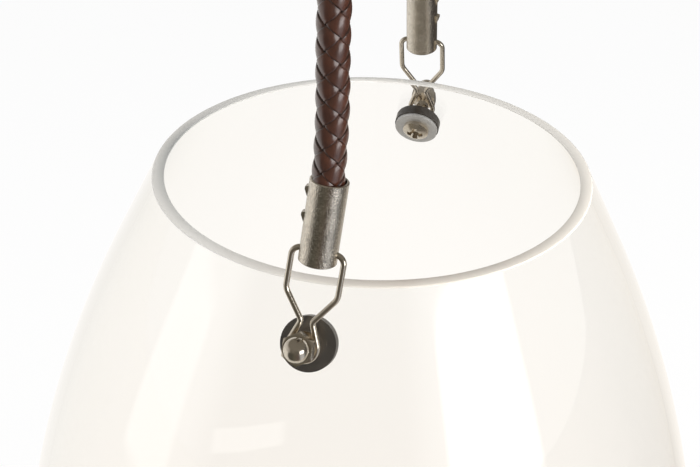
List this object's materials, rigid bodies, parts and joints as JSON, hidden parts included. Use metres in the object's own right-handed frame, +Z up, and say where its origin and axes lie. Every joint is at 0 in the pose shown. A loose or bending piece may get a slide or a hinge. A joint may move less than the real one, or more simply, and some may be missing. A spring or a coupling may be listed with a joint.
{
  "type": "glass candle lantern",
  "caption": "Large clear glass candle lantern with an open top and a braided leather rope handle on swinging wire clips.",
  "frame": {"origin": "centre of the base, on the surface that it stands on", "axes": "+Z up along the vessel's axis; the two studs of the handle stand over the Y axis, the front one at -Y; +X is the side that the front clip leans to by 5.5 degrees at rest, while the back clip stands 0.5 degrees the other way"},
  "size_m": [0.2906, 0.2906, 0.504],
  "materials": {
    "clear_glass": "clear",
    "brown_leather": "gloss",
    "polished_nickel": "polished",
    "satin_nickel": "satin",
    "washer_steel": "matte",
    "dark_rubber": "matte"
  },
  "bodies": {
    "vessel": {"glass_vessel": "clear_glass", "front_screw": "polished_nickel", "front_flat_washer": "washer_steel", "front_spacer_sleeve": "polished_nickel", "front_outer_washer": "polished_nickel", "front_cap_nut": "polished_nickel", "front_rubber_washer": "dark_rubber", "back_screw": "polished_nickel", "back_flat_washer": "washer_steel", "back_spacer_sleeve": "polished_nickel", "back_outer_washer": "polished_nickel", "back_cap_nut": "polished_nickel", "back_rubber_washer": "dark_rubber"},
    "handle": {"handle_rope": "brown_leather", "front_wire_clip": "polished_nickel", "front_ferrule": "satin_nickel", "back_wire_clip": "polished_nickel", "back_ferrule": "satin_nickel"}
  },
  "joints": [
    {"name": "handle_swing", "type": "hinge", "parent": "vessel", "child": "handle", "pos_m": [0, 0, 0.31821], "axis": [0, 1, 0], "range_deg": [-67.5, 62.5]}
  ]
}
